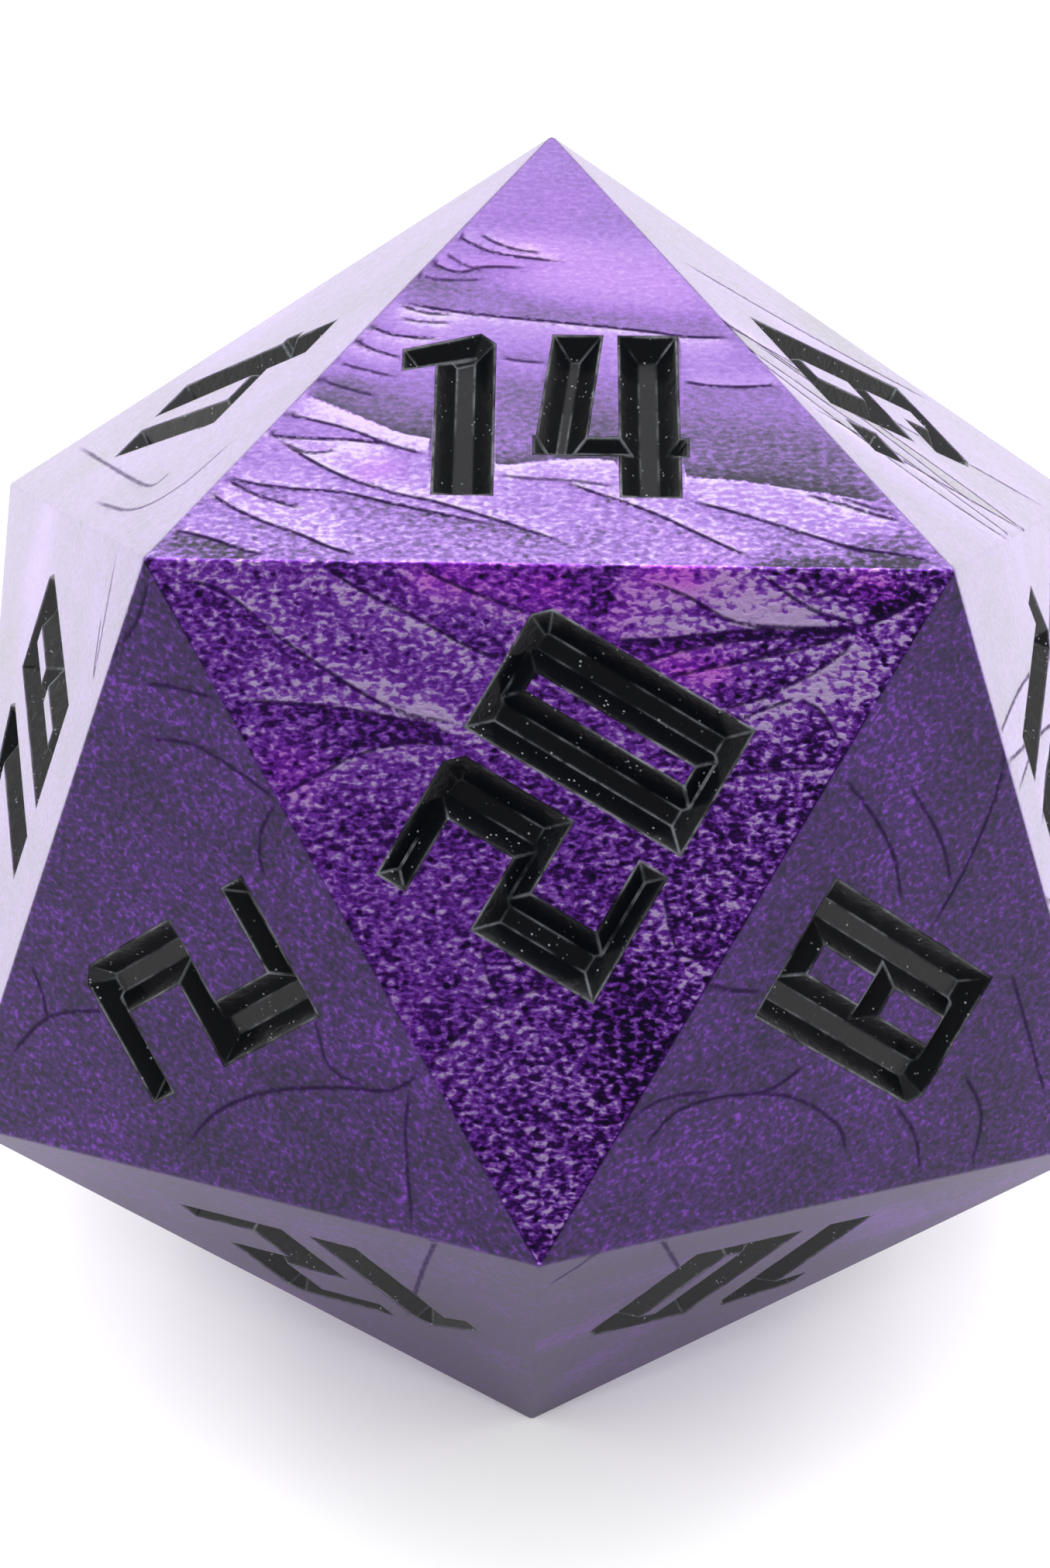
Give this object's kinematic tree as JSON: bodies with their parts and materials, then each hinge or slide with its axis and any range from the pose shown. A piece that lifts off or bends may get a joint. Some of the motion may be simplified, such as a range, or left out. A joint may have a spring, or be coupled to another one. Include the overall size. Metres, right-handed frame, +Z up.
{
  "type": "polyhedral die",
  "caption": "Large sharp-edged icosahedral gaming die in pearly violet, with V-cut numerals lined in black paint.",
  "frame": {"origin": "on the table, under the die's centre, in the middle of the face it lies on", "axes": "+Z up through the centres of the 7 it lies on and the 14 on top; -Y to the front, where the 20 looks forwards and up; +X to the right"},
  "size_m": [0.0588, 0.0676, 0.055],
  "materials": {
    "body": "pearlescent satin, with flow marks",
    "paint": "semi-gloss black paint"
  },
  "bodies": {
    "root": {"die_body": "body", "paint_10_tens": "paint", "paint_10_units": "paint", "paint_11_tens": "paint", "paint_11_units": "paint", "paint_12_tens": "paint", "paint_12_units": "paint", "paint_13_tens": "paint", "paint_13_units": "paint", "paint_14_tens": "paint", "paint_14_units": "paint", "paint_15_tens": "paint", "paint_15_units": "paint", "paint_16_tens": "paint", "paint_16_units": "paint", "paint_17_tens": "paint", "paint_17_units": "paint", "paint_18_tens": "paint", "paint_18_units": "paint", "paint_19_tens": "paint", "paint_19_units": "paint", "paint_1_digit": "paint", "paint_20_tens": "paint", "paint_20_units": "paint", "paint_2_digit": "paint", "paint_3_digit": "paint", "paint_4_digit": "paint", "paint_5_digit": "paint", "paint_6_digit": "paint", "paint_6_dot": "paint", "paint_7_digit": "paint", "paint_8_digit": "paint", "paint_9_digit": "paint", "paint_9_dot": "paint"}
  },
  "joints": []
}
